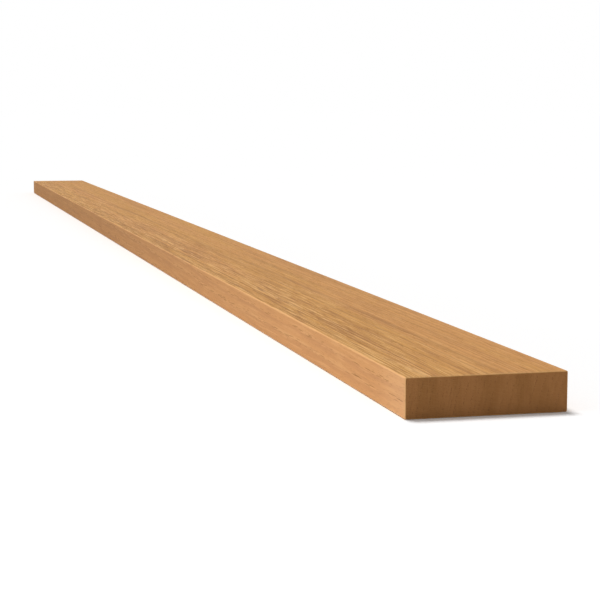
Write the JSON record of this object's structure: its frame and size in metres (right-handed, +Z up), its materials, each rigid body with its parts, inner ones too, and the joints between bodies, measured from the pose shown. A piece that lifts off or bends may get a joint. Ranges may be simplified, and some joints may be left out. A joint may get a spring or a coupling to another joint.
{
  "type": "teak plank",
  "caption": "Straight planed teak plank of rectangular section with eased long edges and square-cut ends, for decking, cladding, shelving and joinery.",
  "frame": {"origin": "middle of the underside, where the plank rests", "axes": "+X along the grain and the length, +Y across the width, +Z up through the thickness"},
  "size_m": [2.44, 0.098, 0.024],
  "materials": {
    "teak": "planed, unfinished"
  },
  "bodies": {
    "root": {"plank": "teak"}
  },
  "joints": []
}
